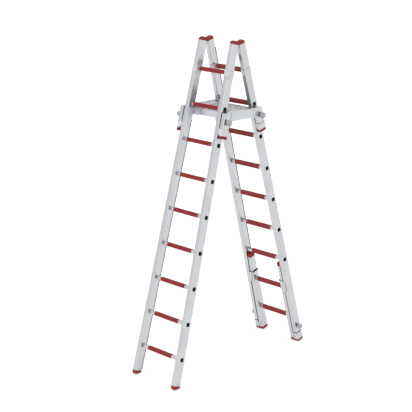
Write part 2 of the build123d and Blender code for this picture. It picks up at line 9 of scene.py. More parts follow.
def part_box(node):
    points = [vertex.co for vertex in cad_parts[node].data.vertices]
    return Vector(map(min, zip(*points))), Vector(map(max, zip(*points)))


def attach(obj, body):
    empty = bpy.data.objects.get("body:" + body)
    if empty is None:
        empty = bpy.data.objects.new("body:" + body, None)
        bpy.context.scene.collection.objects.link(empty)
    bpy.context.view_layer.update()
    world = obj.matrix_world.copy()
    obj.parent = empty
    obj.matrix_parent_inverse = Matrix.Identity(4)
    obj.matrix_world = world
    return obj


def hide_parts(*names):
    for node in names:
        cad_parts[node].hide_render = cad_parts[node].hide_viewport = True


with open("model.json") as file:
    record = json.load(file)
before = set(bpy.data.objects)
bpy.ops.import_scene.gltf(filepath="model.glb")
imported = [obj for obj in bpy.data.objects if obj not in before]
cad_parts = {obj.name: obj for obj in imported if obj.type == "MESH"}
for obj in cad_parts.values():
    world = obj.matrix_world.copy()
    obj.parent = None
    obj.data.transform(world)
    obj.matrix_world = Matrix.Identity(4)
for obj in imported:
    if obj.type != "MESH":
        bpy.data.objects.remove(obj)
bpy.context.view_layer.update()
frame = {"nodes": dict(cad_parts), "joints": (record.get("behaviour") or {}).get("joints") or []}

# Stiles and head members: box tubes pressed from aluminium and cut to length, left untreated. The die leaves
# fine lines along each tube, drawn wider apart than they are so that they show, and these draw reflections
# out lengthwise. In a band above the deck the tubes' closed-in corners are darkened as painted shade.
joints = {joint["name"]: joint for joint in frame["joints"]}
hinge = Vector(joints["apex_hinge"]["pos_m"])
rear_run = Vector(joints["extension_slide"]["axis"])
front_run = Vector((0.0, -rear_run.y, rear_run.z))
mm = 0.001
deck_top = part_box("platform_deck")[1][2]
die_line = 1.5
die_stretch = 80.0
die_depth = 0.3
cloud_size = 140.0
shade_reach = 260.0
shade_open = (0.35, 0.85)
shade_floor = 20.0
shade_top = (310.0, 430.0)
shade_facing = (0.5, 0.9)
tube_rough = (0.2, 0.34)


def linear(code):
    """A sRGB hex colour as linear RGBA."""
    parts = [int(code[i:i + 2], 16) / 255 for i in (1, 3, 5)]
    return [p / 12.92 if p <= 0.04045 else ((p + 0.055) / 1.055) ** 2.4 for p in parts] + [1.0]


def add(tree, kind, links=(), **settings):
    """Add a shader node, set its properties and sockets, and link its inputs."""
    made = tree.nodes.new(kind)
    for key, value in settings.items():
        if hasattr(made, key):
            setattr(made, key, value)
        else:
            made.inputs[key.replace("_", " ")].default_value = value
    for socket, source in links:
        tree.links.new(source, made.inputs[socket])
    return made


def surface(name, metallic=0.0):
    """A new material with its tree, its shader and the piece's own coordinates."""
    made = bpy.data.materials.new(name)
    made.use_nodes = True
    tree = made.node_tree
    shader = tree.nodes["Principled BSDF"]
    shader.inputs["Metallic"].default_value = metallic
    return made, tree, shader, tree.nodes.new("ShaderNodeTexCoord").outputs["Object"]


def pressed_aluminium(name, run, painted_shade_tone="#56575A", reach=shade_reach, everywhere=0.0, facing=None):
    """Bare aluminium with die lines along its run, its closed-in corners darkened as painted shade above the
    deck or everywhere.

    With a facing, only the sides that look that way get the painted shade.
    """
    made, tree, shader, place = surface(name, metallic=1.0)
    along = add(
        tree,
        "ShaderNodeMapping",
        [("Vector", place)],
        vector_type="TEXTURE",
        Rotation=Vector((0, 0, 1)).rotation_difference(run).to_euler(),
        Scale=(1.0, 1.0, die_stretch),
    )
    lines = add(
        tree, "ShaderNodeTexNoise", [("Vector", along.outputs[0])], Scale=1 / (die_line * mm), Detail=2.0
    )
    cloud = add(tree, "ShaderNodeTexNoise", [("Vector", place)], Scale=1 / (cloud_size * mm), Detail=2.0)
    bare_metal = add(
        tree,
        "ShaderNodeMixRGB",
        [("Fac", cloud.outputs[0])],
        Color1=linear("#B8BABD"),
        Color2=linear("#CCCED1"),
    )
    open_air = add(tree, "ShaderNodeAmbientOcclusion", samples=8, Distance=reach * mm)
    open_corners = add(
        tree,
        "ShaderNodeMapRange",
        [("Value", open_air.outputs["AO"])],
        From_Min=shade_open[0],
        From_Max=shade_open[1],
    )
    height = add(tree, "ShaderNodeSeparateXYZ", [("Vector", place)])
    below = add(
        tree,
        "ShaderNodeMapRange",
        [("Value", height.outputs["Z"])],
        From_Min=deck_top,
        From_Max=deck_top + shade_floor * mm,
        To_Min=1.0 - everywhere,
        To_Max=0.0,
    )
    above = add(
        tree,
        "ShaderNodeMapRange",
        [("Value", height.outputs["Z"])],
        From_Min=deck_top + shade_top[0] * mm,
        From_Max=deck_top + shade_top[1] * mm,
        To_Max=1.0 - everywhere,
    )
    clear = add(tree, "ShaderNodeMath", [(0, below.outputs[0]), (1, above.outputs[0])], operation="MAXIMUM")
    kept = add(tree, "ShaderNodeMath", [(0, open_corners.outputs[0]), (1, clear.outputs[0])], operation="MAXIMUM")
    if facing:
        normal = tree.nodes.new("ShaderNodeNewGeometry").outputs["Normal"]
        turned = add(tree, "ShaderNodeVectorMath", [(0, normal)], operation="DOT_PRODUCT")
        turned.inputs[1].default_value = facing
        spared = add(
            tree,
            "ShaderNodeMapRange",
            [("Value", turned.outputs["Value"])],
            From_Min=shade_facing[0],
            From_Max=shade_facing[1],
            To_Min=1.0,
            To_Max=0.0,
        )
        kept = add(
            tree, "ShaderNodeMath", [(0, kept.outputs[0]), (1, spared.outputs[0])], operation="MAXIMUM"
        )
    colour = add(
        tree,
        "ShaderNodeMixRGB",
        [("Fac", kept.outputs[0]), ("Color2", bare_metal.outputs[0])],
        Color1=linear(painted_shade_tone),
    )
    rough = add(
        tree,
        "ShaderNodeMapRange",
        [("Value", lines.outputs[0])],
        To_Min=tube_rough[0],
        To_Max=tube_rough[1],
    )
    ridges = add(
        tree, "ShaderNodeBump", [("Height", lines.outputs[0])], Strength=0.05, Distance=die_depth * mm
    )
    tree.links.new(colour.outputs[0], shader.inputs["Base Color"])
    tree.links.new(rough.outputs[0], shader.inputs["Roughness"])
    tree.links.new(ridges.outputs[0], shader.inputs["Normal"])
    return made


def dress(material, *names):
    """Put a material on CAD nodes."""
    for name in names:
        for holder in frame["nodes"][name].material_slots:
            holder.material = material


sides = ("left", "right")
front_tubes = [f"{name}_{side}" for name in ("front_stile", "head_front") for side in sides]
front_tube = pressed_aluminium("pressed_aluminium_front", front_run)
dress(front_tube, "head_spigots_front", *front_tubes)
# On these rear tubes only the sides that face forward get the painted shade in their corners.
rear_tube = pressed_aluminium("pressed_aluminium_rear", rear_run, facing=(0.0, -1.0, 0.0))
dress(rear_tube, "head_spigots_rear", "rear_stile_right", "head_rear_right")
# The rear left tubes get a much lighter painted shade in their corners than the other tubes.
rear_left_lighter_shade_tube = pressed_aluminium("pressed_aluminium_rear_left_lighter_shade", rear_run, "#B4B6B9")
dress(rear_left_lighter_shade_tube, "rear_stile_left", "head_rear_left")

# Rungs: square tubes drawn from aluminium and pressed through the stiles, bright between sleeve and stile.
# Drawing leaves lines along the rung, and its root next to each stile is darkened as painted shade where it
# is closed in.
root_shade_reach = 60.0
front_rungs = range(1, 10)
rear_rungs = range(1, 8)
extension_rungs = range(8, 10)

rung_tube = pressed_aluminium(
    "drawn_aluminium_tube", Vector((1, 0, 0)), "#3C3E42", root_shade_reach, everywhere=1.0
)
dress(rung_tube, *(f"front_rung_{level}" for level in front_rungs))
dress(rung_tube, *(f"rear_rung_{level}" for level in rear_rungs), "extension_rungs")

# Grip sleeves: red plastic mouldings pushed over the middle of the rungs, with fine flutes along every side
# and a plain collar at each end. The moulded skin is matt, and the flutes break up its sheen.
lean = math.asin(rear_run.y)
stile_depth = 68.0
first_rung = 234.0
rung_pitch = 280.0
grip_length = 266.0
grip_size = 33.1
grip_corner = 7.5
grip_edge = 1.2
grip_collar = 9.0
flute_count = 4
flute_pitch = 4.0
flute_width = 2.0
flute_depth = 0.7
grain_depth = 0.2
sharp_angle = math.radians(38.0)
hair = 1e-4
nearly = 0.99


def flight_frame(side):
    """Frame of a flight, -1 in front and 1 behind: x across it, y out of it and z down it, in millimetres."""
    out = Vector((0, side * math.cos(lean), math.sin(lean)))
    down = Vector((0, side * math.sin(lean), -math.cos(lean)))
    turn = Matrix((Vector((1, 0, 0)), out, down)).transposed().to_4x4()
    return Matrix.Translation(hinge) @ turn @ Matrix.Scale(mm, 4)


front = flight_frame(-1)
rear = flight_frame(1)
flights = (("front", front), ("rear", rear))


def bevel(shape, geometry, offset, segments, affect="EDGES"):
    """Round the given edges or corners."""
    bmesh.ops.bevel(
        shape,
        geom=geometry,
        offset=offset,
        segments=segments,
        profile=0.5,
        affect=affect,
        material=-1,
    )


def bar(width, depth, start, end, corner, segments=5):
    """A bar along z from start to end, its long edges rounded."""
    shape = bmesh.new()
    bmesh.ops.create_cube(shape, size=1.0)
    bmesh.ops.scale(shape, vec=(width, depth, end - start), verts=shape.verts)
    bmesh.ops.translate(shape, vec=(0, 0, (start + end) / 2), verts=shape.verts)
    long_edges = [e for e in shape.edges if abs(e.verts[0].co.z - e.verts[1].co.z) > hair]
    bevel(shape, long_edges, corner, segments)
    return shape


def rim(shape, level):
    """Edges of the outline at a level of z."""
    return [
        e
        for e in shape.edges
        if all(abs(v.co.z - level) < hair for v in e.verts)
        and len({abs(f.normal.z) > nearly for f in e.link_faces}) == 2
    ]


def groove(shape, axis, places, width, depth, facing, ends):
    """Sink grooves into the flat faces that look along facing, at places on an axis, short of the ends.

    Each side of a groove slants over a sixth of its width.
    """
    across = Vector([float(i == axis) for i in range(3)])
    cuts = [(across, place + half) for place in places for half in (-width / 2, width / 2)]
    for normal, place in cuts + ends:
        geometry = shape.verts[:] + shape.edges[:] + shape.faces[:]
        bmesh.ops.bisect_plane(shape, geom=geometry, plane_co=normal * place, plane_no=normal)
    shape.normal_update()
    strips = []
    for face in shape.faces:
        middle = face.calc_center_median()
        inside = all(abs(middle.dot(normal)) < abs(place) for normal, place in ends)
        on_place = any(abs(middle[axis] - place) < width / 2 for place in places)
        if abs(face.normal.dot(facing)) > nearly and inside and on_place:
            strips.append(face)
    bmesh.ops.inset_individual(shape, faces=strips, thickness=width / 6, depth=-depth)


def gather(parts):
    """One mesh of several parts, each moved by its own matrix."""
    whole = bmesh.new()
    for shape, place in parts:
        start = len(whole.verts)
        loose = bpy.data.meshes.new("loose")
        shape.to_mesh(loose)
        whole.from_mesh(loose)
        bpy.data.meshes.remove(loose)
        whole.verts.ensure_lookup_table()
        bmesh.ops.transform(whole, matrix=place, verts=whole.verts[start:])
    return whole


def piece(name, shape, material, body, slot, *nodes):
    """A finished mesh as a piece that moves with its body and stands for CAD nodes."""
    bmesh.ops.recalc_face_normals(shape, faces=shape.faces)
    mesh = bpy.data.meshes.new(name)
    shape.to_mesh(mesh)
    shape.free()
    mesh.materials.append(material)
    mesh.shade_smooth()
    mesh.set_sharp_from_angle(angle=sharp_angle)
    made = bpy.data.objects.new(name, mesh)
    bpy.context.collection.objects.link(made)
    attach(made, body)
    if nodes:
        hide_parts(*nodes)


def rung_frame(flight, level):
    """Frame on a rung's axis, z along the rung."""
    down = first_rung + (level - 1) * rung_pitch
    return flight @ Matrix.Translation((0, stile_depth / 2, down)) @ Matrix.Rotation(math.pi / 2, 4, "Y")


def moulded(name, dark, light, roughness, gloss, patch, grit):
    """Moulded plastic or rubber: two close shades in soft patches, and the grain of the mould's own skin.

    The real grain is finer than the grit given here, which is as coarse as it needs to show.
    """
    made, tree, shader, place = surface(name)
    haze = add(tree, "ShaderNodeTexNoise", [("Vector", place)], Scale=1 / (patch * mm), Detail=3.0)
    grain = add(tree, "ShaderNodeTexNoise", [("Vector", place)], Scale=1 / (grit * mm), Detail=1.0)
    skin = add(
        tree, "ShaderNodeBump", [("Height", grain.outputs[0])], Strength=0.15, Distance=grain_depth * mm
    )
    colour = add(
        tree, "ShaderNodeMixRGB", [("Fac", haze.outputs[0])], Color1=linear(dark), Color2=linear(light)
    )
    tree.links.new(colour.outputs[0], shader.inputs["Base Color"])
    tree.links.new(skin.outputs[0], shader.inputs["Normal"])
    shader.inputs["Roughness"].default_value = roughness
    shader.inputs["Specular IOR Level"].default_value = gloss
    return made


red_plastic = moulded(
    "moulded_red_plastic", "#842023", "#993033", roughness=0.55, gloss=0.3, patch=22.0, grit=0.7
)
grip_ends = (-grip_length / 2, grip_length / 2)
sleeve = bar(grip_size, grip_size, *grip_ends, grip_corner)
for end in grip_ends:
    bevel(sleeve, rim(sleeve, end), grip_edge, segments=2)
flutes = [(i - (flute_count - 1) / 2) * flute_pitch for i in range(flute_count)]
collars = [(Vector((0, 0, 1)), half * (grip_length / 2 - grip_collar)) for half in (-1, 1)]
groove(sleeve, 0, flutes, flute_width, flute_depth, Vector((0, 1, 0)), collars)
groove(sleeve, 1, flutes, flute_width, flute_depth, Vector((1, 0, 0)), collars)
for name, flight, levels, body in (
    ("front", front, front_rungs, "front_ladder"),
    ("rear", rear, rear_rungs, "rear_ladder"),
    ("extension", rear, extension_rungs, "extension"),
):
    sleeves = gather([(sleeve, rung_frame(flight, level)) for level in levels])
    piece(f"{name}_grip_sleeves", sleeves, red_plastic, body, "red_grip", f"{name}_rung_grips")
sleeve.free()

# Rung plugs: black plastic stoppers pressed into the open rung ends, each with a square flange that shows on
# the stile's outer side. The moulded face is dull and dished, so it stays near black in the bright room.
hands = (-1, 1)
stile_half = 188.2
stile_width = 40.0
stile_corner = 6.0
flare = math.radians(1.175)
plug_size = 31.5
plug_flange = 1.4
plug_corner = 5.0
plug_edge = 0.5
plug_dish = ((3.0, 0.0), (1.0, -0.8))


def stile_frame(flight, hand, down, inset=stile_width / 2):
    """Frame on a spread stile, inset from its outer face, z along the stile."""
    x = hand * (stile_half + down * math.tan(flare) - inset)
    return flight @ Matrix.Translation((x, stile_depth / 2, down)) @ Matrix.Rotation(hand * flare, 4, "Y")


def plug_frame(flight, hand, level):
    """Frame on the outer face of a stile where a rung ends, z out of the face."""
    down = first_rung + (level - 1) * rung_pitch
    return stile_frame(flight, hand, down, 0.0) @ Matrix.Rotation(hand * math.pi / 2, 4, "Y")


def top_face(shape):
    """The face that lies highest along z."""
    return max(shape.faces, key=lambda f: f.calc_center_median().z)


black_plastic = moulded(
    "moulded_black_plastic", "#08080A", "#141416", roughness=0.8, gloss=0.1, patch=11.0, grit=0.7
)
plug = bar(plug_size, plug_size, 0.0, plug_flange, plug_corner, segments=3)
bevel(plug, rim(plug, plug_flange), plug_edge, segments=2)
face = top_face(plug)
for thick, depth in plug_dish:
    bmesh.ops.inset_region(plug, faces=[face], thickness=thick, depth=depth)
for name, flight, levels in (("front", front, front_rungs[1:]), ("rear", rear, rear_rungs[1:])):
    plugs = gather([(plug, plug_frame(flight, hand, level)) for level in levels for hand in hands])
    piece(f"{name}_plug_flanges", plugs, black_plastic, f"{name}_ladder", "black_plug", f"{name}_rung_plugs")
plug.free()

# Hinge plates, pins, rivets and screws: steel, punched or turned and then zinc plated.
# The plating is brighter than bare steel and faintly clouded.
zinc_flake = 4.0

zinc, tree, shader, place = surface("zinc_plated_steel", metallic=1.0)
flakes = add(tree, "ShaderNodeTexVoronoi", [("Vector", place)], Scale=1 / (zinc_flake * mm))
colour = add(
    tree,
    "ShaderNodeMixRGB",
    [("Fac", flakes.outputs[0])],
    Color1=linear("#989A9D"),
    Color2=linear("#B4B6B9"),
)
tree.links.new(colour.outputs[0], shader.inputs["Base Color"])
shader.inputs["Roughness"].default_value = 0.36
dress(zinc, "hinge_leaves_front", "hinge_leaves_rear", "hinge_pins", "front_fasteners", "rear_fasteners")

# Head caps: red plastic mouldings on the tops of the head members, each a rounded lobe. The front ones carry
# a knuckle on each side of the hinge plates, and the rear ones are hollowed around it, so that the flights
# can open.
cap_outer = 188.4
cap_inner = 148.4
hinge_room = (160.4, 178.6)
cap_drop = 15.0
cap_rise = 14.0
cap_slope = math.radians(35.0)
cap_round = 13.0
cap_shoulder = 24.0
cap_edge = 9.0
knuckle = 9.0
knuckle_gap = 0.5
knuckle_edge = 1.2
knuckle_inset = 2.0
hollow_step = 12.0
hollow_steps = 10

hollow = [
    ((knuckle + knuckle_gap) * math.cos(turn), (knuckle + knuckle_gap) * math.sin(turn))
    for turn in (math.radians(hollow_step * i) - cap_slope for i in range(hollow_steps + 1))
]
crown = [
    (knuckle_gap, cap_drop),
    (stile_depth, cap_drop),
    (stile_depth, -cap_rise),
    (cap_rise / math.tan(cap_slope), -cap_rise),
]
closed_side = crown + [(knuckle_gap, 0.0)]
hollowed_side = crown + hollow


def only(kind, geometry):
    """The vertices, edges or faces among what an operator returns."""
    return [part for part in geometry if isinstance(part, kind)]


def slice_of_cap(start, end, outline, edge):
    """Part of a cap between two places across the ladder, its crest rounded and the side at end softened."""
    shape = bmesh.new()
    corners = [shape.verts.new((start, out, down)) for out, down in outline]
    shape.faces.new(corners)
    bevel(shape, [corners[2]], cap_shoulder, segments=8, affect="VERTICES")
    bevel(shape, [corners[3]], cap_round * math.tan(cap_slope / 2), segments=8, affect="VERTICES")
    moved = bmesh.ops.extrude_face_region(shape, geom=shape.faces[:])["geom"]
    bmesh.ops.translate(shape, vec=(end - start, 0, 0), verts=only(bmesh.types.BMVert, moved))
    if edge:
        outer = [
            e
            for e in shape.edges
            if all(abs(v.co.x - end) < hair for v in e.verts)
            and not all(abs(v.co.z - cap_drop) < hair for v in e.verts)
        ]
        bevel(shape, outer, edge, segments=4)
    return shape


def knuckle_between(start, end):
    """A short boss around the hinge axis."""
    shape = bmesh.new()
    bmesh.ops.create_cone(
        shape, cap_ends=True, segments=40, radius1=knuckle, radius2=knuckle, depth=end - start
    )
    for level in (-(end - start) / 2, (end - start) / 2):
        bevel(shape, rim(shape, level), knuckle_edge, segments=3)
    across = Matrix.Translation(((start + end) / 2, 0, 0)) @ Matrix.Rotation(math.pi / 2, 4, "Y")
    bmesh.ops.transform(shape, matrix=across, verts=shape.verts)
    return shape


for name, flight, outline in (("front", front, closed_side), ("rear", rear, hollowed_side)):
    slices = [
        slice_of_cap(hinge_room[0], cap_inner, outline, cap_edge),
        slice_of_cap(hinge_room[0], hinge_room[1], hollowed_side, 0.0),
        slice_of_cap(hinge_room[1], cap_outer, outline, cap_edge),
    ]
    if name == "front":
        slices.append(knuckle_between(cap_inner + knuckle_inset, hinge_room[0]))
        slices.append(knuckle_between(hinge_room[1], cap_outer - knuckle_inset))
    caps = gather(
        [(shape, flight @ Matrix.Diagonal((hand, 1, 1, 1))) for shape in slices for hand in hands]
    )
    piece(f"{name}_head_caps", caps, red_plastic, f"{name}_ladder", "red_cap", f"head_caps_{name}")
    for shape in slices:
        shape.free()

# Joint sleeves: light grey plastic sleeves round the tubes where the head members are plugged on to the
# stiles. At the rear a thin dark grey ring above each sleeve is painted shade: it draws the fine dark line of
# shadow at the sleeve's end.
sleeve_reach = (216.0, 264.0)
sleeve_proud = 3.0
sleeve_edge = 2.4
joint_ring = 2.4
ring_proud = 0.4


def ring(width, depth, thick, corner):
    """A thin seal round a tube's end, its lips rounded."""
    shape = bar(width, depth, -thick / 2, thick / 2, corner)
    for level in (-thick / 2, thick / 2):
        bevel(shape, rim(shape, level), ring_proud / 2, segments=2)
    return shape


shade_line_rubber = moulded(
    "grey_rubber_painted_shade_lines", "#4E5053", "#606265", roughness=0.85, gloss=0.15, patch=9.0, grit=0.8
)
sleeve_plastic = moulded(
    "moulded_light_grey_plastic", "#C6C8CB", "#D7D9DC", roughness=0.4, gloss=0.4, patch=7.0, grit=0.8
)
sleeve = bar(
    stile_width + 2 * sleeve_proud,
    stile_depth + 2 * sleeve_proud,
    *sleeve_reach,
    stile_corner + sleeve_proud,
)
for end in sleeve_reach:
    bevel(sleeve, rim(sleeve, end), sleeve_edge, segments=4)
for name, flight in flights:
    sleeves = gather([(sleeve, stile_frame(flight, hand, 0.0)) for hand in hands])
    piece(f"{name}_joint_sleeves", sleeves, sleeve_plastic, f"{name}_ladder", "shoe")
sleeve.free()
seal = ring(stile_width + 2 * ring_proud, stile_depth + 2 * ring_proud, joint_ring, stile_corner)
seals = gather([(seal, stile_frame(rear, hand, sleeve_reach[0] - joint_ring / 2)) for hand in hands])
piece("rear_joint_shade_rings", seals, shade_line_rubber, "rear_ladder", "black_plug")
seal.free()

# Edge strips: dark grey rubber strips on the back edges of the stiles' inner sides, standing hardly proud of
# the tubes. They are painted shade: a fine dark line beside the bright metal, where that edge lies in shadow.
edge_reach = {"front": (640.0, 2676.0), "rear": (90.0, 1972.0)}
edge_back = {"front": -1, "rear": 1}
edge_width = 8.0
edge_thick = 5.6
edge_proud = 0.4

edge_inset = stile_width - edge_thick / 2 + edge_proud
for name, flight in flights:
    strip = bar(edge_thick, edge_width, *edge_reach[name], edge_proud, segments=2)
    back = edge_back[name] * ((stile_depth - edge_width) / 2 + edge_proud)
    bmesh.ops.translate(strip, vec=(0, back, 0), verts=strip.verts)
    strips = gather([(strip, stile_frame(flight, hand, 0.0, edge_inset)) for hand in hands])
    piece(f"{name}_edge_shade_strips", strips, shade_line_rubber, f"{name}_ladder", "black_plug")
    strip.free()

# Front feet: red rubber mouldings plugged into the stiles, domed and drawn in to a small pad that meets the
# floor. Rubber is softer and duller than the grips' plastic, and its upper lip stands a little proud of the
# tube.
front_stile_end = 2683.0
foot_height = 27.9
foot_lip = 2.5
foot_edge = 0.6
foot_tilt = 0.5
foot_rings = 10
foot_turn = math.radians(78.0)

red_rubber = moulded(
    "moulded_red_rubber", "#801F21", "#972E30", roughness=0.65, gloss=0.3, patch=16.0, grit=1.1
)
foot = bar(stile_width + 2 * ring_proud, stile_depth + 2 * ring_proud, -foot_lip, 0.0, stile_corner)
bevel(foot, rim(foot, -foot_lip), foot_edge, segments=2)
pad = top_face(foot)
reach = 1.0
level = 0.0
for i in range(1, foot_rings + 1):
    turn = foot_turn * i / foot_rings
    drawn = math.sqrt(math.cos(turn))
    lower = foot_height * math.sin(turn) / math.sin(foot_turn)
    moved = bmesh.ops.extrude_face_region(foot, geom=[pad])["geom"]
    pad = only(bmesh.types.BMFace, moved)[0]
    bmesh.ops.scale(foot, vec=(drawn / reach, drawn / reach, 1.0), verts=pad.verts)
    bmesh.ops.translate(foot, vec=(0, 0, lower - level), verts=pad.verts)
    reach = drawn
    level = lower
for vertex in foot.verts:
    vertex.co.z += foot_tilt * max(vertex.co.z, 0.0) / foot_height * vertex.co.y * math.tan(lean)
foot_x = stile_half + front_stile_end * math.tan(flare) - stile_width / 2
feet = gather(
    [
        (foot, front @ Matrix.Translation((hand * foot_x, stile_depth / 2, front_stile_end)))
        for hand in hands
    ]
)
piece("front_foot_pads", feet, red_rubber, "front_ladder", "red_rubber", "front_feet")
foot.free()

# Rear shoes and soles: grey plastic end pieces plugged into the stiles over a black seal, with a red rubber
# sole bonded under each. The soles are cut to lie flat on the floor and have tread grooves across.
rear_stile_end = 2621.0
sole_start = 2687.0
sole_end = 2709.0
sole_lap = 2.0
sole_edge = 11.0
shoe_seal = 8.0
tread_places = (-20.0, 0.0, 20.0)
tread_width = 4.0
tread_depth = 2.5

grey_plastic = moulded(
    "moulded_silver_plastic", "#CACCCF", "#DADCDF", roughness=0.4, gloss=0.5, patch=14.0, grit=0.7
)
dress(grey_plastic, "rear_shoes", "leg_shoes")


def sole(width, depth, start, end):
    """A rubber sole along z, its lower edge rounded and grooves across the middle half of its tread.

    A narrow sole is rounded by a third of its width.
    """
    shape = bar(width, depth, start, end, stile_corner)
    bevel(shape, rim(shape, end), min(sole_edge, width / 3), segments=4)
    ends = [(Vector((1, 0, 0)), half * width / 4) for half in (-1, 1)]
    groove(shape, 1, tread_places, tread_width, tread_depth, Vector((0, 0, 1)), ends)
    return shape


def bed_on_floor(shape):
    """Cut away what lies below the floor and close the cut."""
    geometry = shape.verts[:] + shape.edges[:] + shape.faces[:]
    cut = bmesh.ops.bisect_plane(
        shape, geom=geometry, plane_co=(0, 0, 0), plane_no=(0, 0, -1), clear_outer=True
    )["geom_cut"]
    bmesh.ops.holes_fill(shape, edges=only(bmesh.types.BMEdge, cut))


tread = sole(stile_width + 2 * ring_proud, stile_depth, -sole_lap, sole_end - sole_start)
soles = gather([(tread, stile_frame(rear, hand, sole_start)) for hand in hands])
bed_on_floor(soles)
piece("rear_tread_soles", soles, red_rubber, "rear_ladder", "red_rubber", "rear_soles")
tread.free()

black_rubber = moulded(
    "moulded_black_rubber", "#0E0E0F", "#1D1D1F", roughness=0.85, gloss=0.15, patch=9.0, grit=0.8
)
seal = ring(stile_width + 2 * ring_proud, stile_depth + 2 * ring_proud, shoe_seal, stile_corner)
seals = gather([(seal, stile_frame(rear, hand, rear_stile_end)) for hand in hands])
piece("rear_shoe_seals", seals, black_rubber, "rear_ladder", "black_plug")
seal.free()

# Extension section: pressed aluminium stiles with narrower plug-in ends, nested between the rear stiles.
# A rubber buffer lies on each shoulder's inner ledge. Black plastic strips in the gap to the rear stile are
# painted shade: they stand for the shadow in the gap, and the left ones are wider so that they show darker.
# The plug-in ends have red rubber caps, and the feet are red rubber like the soles beside them.
nest_gap = 3.0
extension_width = 38.0
extension_depth = 67.2
extension_inset = stile_width + nest_gap + extension_width / 2
extension_top = 2123.5
extension_end = 2679.0
spigot_top = 1980.0
spigot_width = 32.8
spigot_depth = 58.0
spigot_cap = 32.0
spigot_edge = 5.5
buffer_height = 13.0
buffer_width = 4.0
buffer_depth = 66.6
buffer_corner = 1.2
buffer_edge = 1.0
strip_length = {-1: (2130.0, 2640.0), 1: (1988.0, 2621.0)}
strip_thick = 2.4
strip_shade_flange = {-1: 10.4, 1: 4.0}
strip_depth = 15.0
strip_corner = 0.6
strip_taper = 3.6
strip_sunk = 0.4

dress(rear_tube, "extension_spigots", *(f"extension_stile_{side}" for side in sides))
stop = bar(buffer_width, buffer_depth, -buffer_height, 0.0, buffer_corner, segments=3)
bevel(stop, rim(stop, -buffer_height), buffer_edge, segments=3)
ledge = extension_inset + spigot_width / 2 + buffer_width / 2
stops = gather([(stop, stile_frame(rear, hand, extension_top, ledge)) for hand in hands])
piece("extension_shoulder_buffers", stops, black_rubber, "extension", "black_plug")
stop.free()

# The black strips are painted shade for the gap; the left flange is wider for a darker line.
strips = []
for hand in hands:
    strip = bar(strip_thick, strip_depth, *strip_length[hand], strip_corner, segments=2)
    geometry = strip.verts[:] + strip.edges[:] + strip.faces[:]
    waist = strip_taper - strip_depth / 2
    bmesh.ops.bisect_plane(strip, geom=geometry, plane_co=(0, waist, 0), plane_no=(0, 1, 0))
    flange = [v for v in strip.verts if v.co.y < waist - hair]
    bmesh.ops.scale(strip, vec=(strip_shade_flange[hand] / strip_thick, 1, 1), verts=flange)
    bmesh.ops.translate(strip, vec=(0, strip_sunk + (strip_depth - stile_depth) / 2, 0), verts=strip.verts)
    seat = stile_frame(rear, hand, 0.0, stile_width + nest_gap / 2)
    strips += [(strip, seat @ Matrix.Diagonal((1, way, 1, 1))) for way in (-1, 1)]
piece("extension_gap_shade_strips", gather(strips), black_plastic, "rear_ladder", "black_plug")
for strip, seat in strips[::2]:
    strip.free()

cap = bar(spigot_width, spigot_depth, -spigot_cap, 0.0, stile_corner)
bevel(cap, rim(cap, -spigot_cap), spigot_edge, segments=4)
tread = sole(extension_width + 2 * ring_proud, extension_depth, 0.0, sole_end - extension_end)
ends = gather(
    [(cap, stile_frame(rear, hand, spigot_top, extension_inset)) for hand in hands]
    + [(tread, stile_frame(rear, hand, extension_end, extension_inset)) for hand in hands]
)
bed_on_floor(ends)
piece("extension_caps_and_feet", ends, red_rubber, "extension", "red_rubber", "extension_ends")
cap.free()
tread.free()

# Guide plates: flat aluminium plates bolted to the rear stiles, lapping over the extension so that it runs
# true. They are cut from pressed flat bar with the tubes' finish, and a thin black bead along one long edge
# of each plate shows as a dark line there.
guide_reach = (2121.0, 2215.0)
guide_lap = 20.0
bead_width = 2.0
bead_proud = 0.8

dress(rear_tube, "guide_plates")
bead = bar(bead_width, stile_depth + 2 * bead_proud, *guide_reach, bead_width / 3, segments=2)
bead_inset = stile_width - guide_lap - bead_width / 2
beads = gather([(bead, stile_frame(rear, hand, 0.0, bead_inset)) for hand in hands])
piece("guide_plate_beads", beads, black_rubber, "rear_ladder", "black_plug")
bead.free()

# Platform frame: aluminium box tubes, two side beams, two cross-beams and four legs, welded together.
# Each runs its own way, and so do its die lines.
# In their closed-in corners near the deck the tone is painted: a little darker on the side beams and legs as
# painted shade, and lighter on the cross-beams as painted light.
side_tube = pressed_aluminium("pressed_aluminium_side", Vector((0, 1, 0)), "#C2C4C7")
cross_tube = pressed_aluminium("pressed_aluminium_cross", Vector((1, 0, 0)), "#DCDEE1")
leg_tube = pressed_aluminium("pressed_aluminium_leg", front_run, "#C2C4C7")
dress(side_tube, "side_beam_left", "side_beam_right")
dress(cross_tube, "cross_beams")
dress(leg_tube, "platform_legs")

# Beam pads: blue-grey plastic wedges on the ends of the cross-beams, which seat the upright beams on the
# leaning stiles, with cheeks that lie along the front stiles' inner sides. They are moulded, dull and flat,
# and their blue-grey tone, darker than the bare metal beside them, is painted reflection and shade: it stands
# for the stile's shaded inner side and its reflection in the beam's end.
pad_reach = (99.0, 197.0)
pad_sunk = 1.0
pad_seat = 0.5
pad_margin = 1.5
pad_edge = 0.8
pad_slant = 14.0
cheek_thick = 1.5

